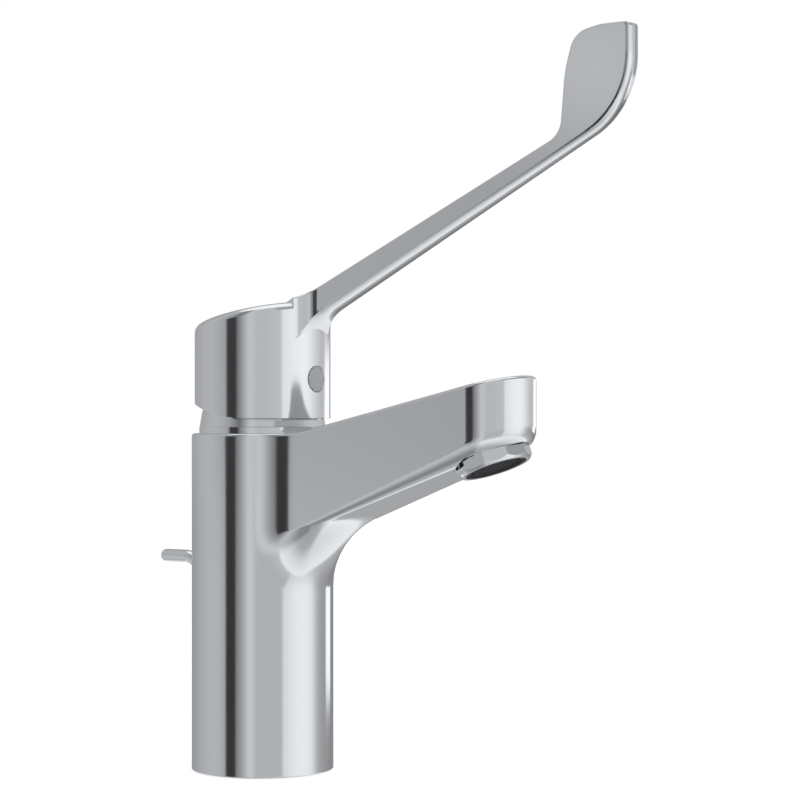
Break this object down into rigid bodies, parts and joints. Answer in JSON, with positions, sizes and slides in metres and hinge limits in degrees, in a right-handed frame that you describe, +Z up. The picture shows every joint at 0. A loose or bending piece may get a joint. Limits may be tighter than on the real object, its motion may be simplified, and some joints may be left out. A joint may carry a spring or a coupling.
{
  "type": "basin mixer tap",
  "caption": "Single-lever basin mixer tap with a round column, rising spout, long bent lever and a pop-up lift rod.",
  "frame": {"origin": "centre of the column's base face, on the basin's surface", "axes": "+Z up along the column, +X forward along the spout"},
  "size_m": [0.1874, 0.048, 0.2385],
  "materials": {
    "chrome_casting": "polished chrome plate on brass",
    "chrome_handle": "polished chrome plate on brass",
    "chrome_trim": "polished chrome plate on brass",
    "bare_brass": "turned",
    "steel": "turned",
    "rubber": "matt",
    "cartridge_plastic": "moulded",
    "limiter_plastic": "moulded",
    "ceramic": "ground ceramic",
    "plug_plastic": "satin grey",
    "bush_plastic": "moulded",
    "aerator_plastic": "moulded"
  },
  "bodies": {
    "tap_body": {"body": "chrome_casting", "base_seal": "rubber", "cartridge_base": "cartridge_plastic", "port_seals": "rubber", "disc_seals": "rubber", "fixed_disc": "ceramic", "cartridge_housing": "cartridge_plastic", "cartridge_nut": "bare_brass", "shroud": "chrome_trim", "rod_bush": "bush_plastic", "aerator_housing": "chrome_trim", "aerator_insert": "aerator_plastic", "aerator_screen": "aerator_plastic", "aerator_washer": "rubber"},
    "turret": {"rotor": "cartridge_plastic", "rotor_seal": "rubber", "limiter_ring": "limiter_plastic", "stem_pin": "steel"},
    "lever": {"stem": "bare_brass", "handle_insert": "cartridge_plastic", "handle": "chrome_handle", "grub_screw": "steel", "indicator_plug": "plug_plastic"},
    "disc": {"moving_disc": "ceramic", "disc_carrier": "cartridge_plastic"},
    "waste_rod": {"lift_rod": "chrome_trim"}
  },
  "joints": [
    {"name": "temperature", "type": "hinge", "parent": "tap_body", "child": "turret", "pos_m": [0, 0, 0.116], "axis": [0, 0, 1], "range_deg": [-50, 50]},
    {"name": "flow", "type": "hinge", "parent": "turret", "child": "lever", "pos_m": [0, 0, 0.116], "axis": [0, -1, 0], "range_deg": [0, 25]},
    {"name": "disc_slide", "type": "slide", "parent": "turret", "child": "disc", "axis": [1, 0, 0], "range_m": [0, 0.0075]},
    {"name": "waste_lift", "type": "slide", "parent": "tap_body", "child": "waste_rod", "axis": [-0.2079, 0, 0.9781], "range_m": [0, 0.03]}
  ],
  "couplings": [
    {"joint": "disc_slide", "follows": "flow", "m_per_rad": 0.016866}
  ]
}
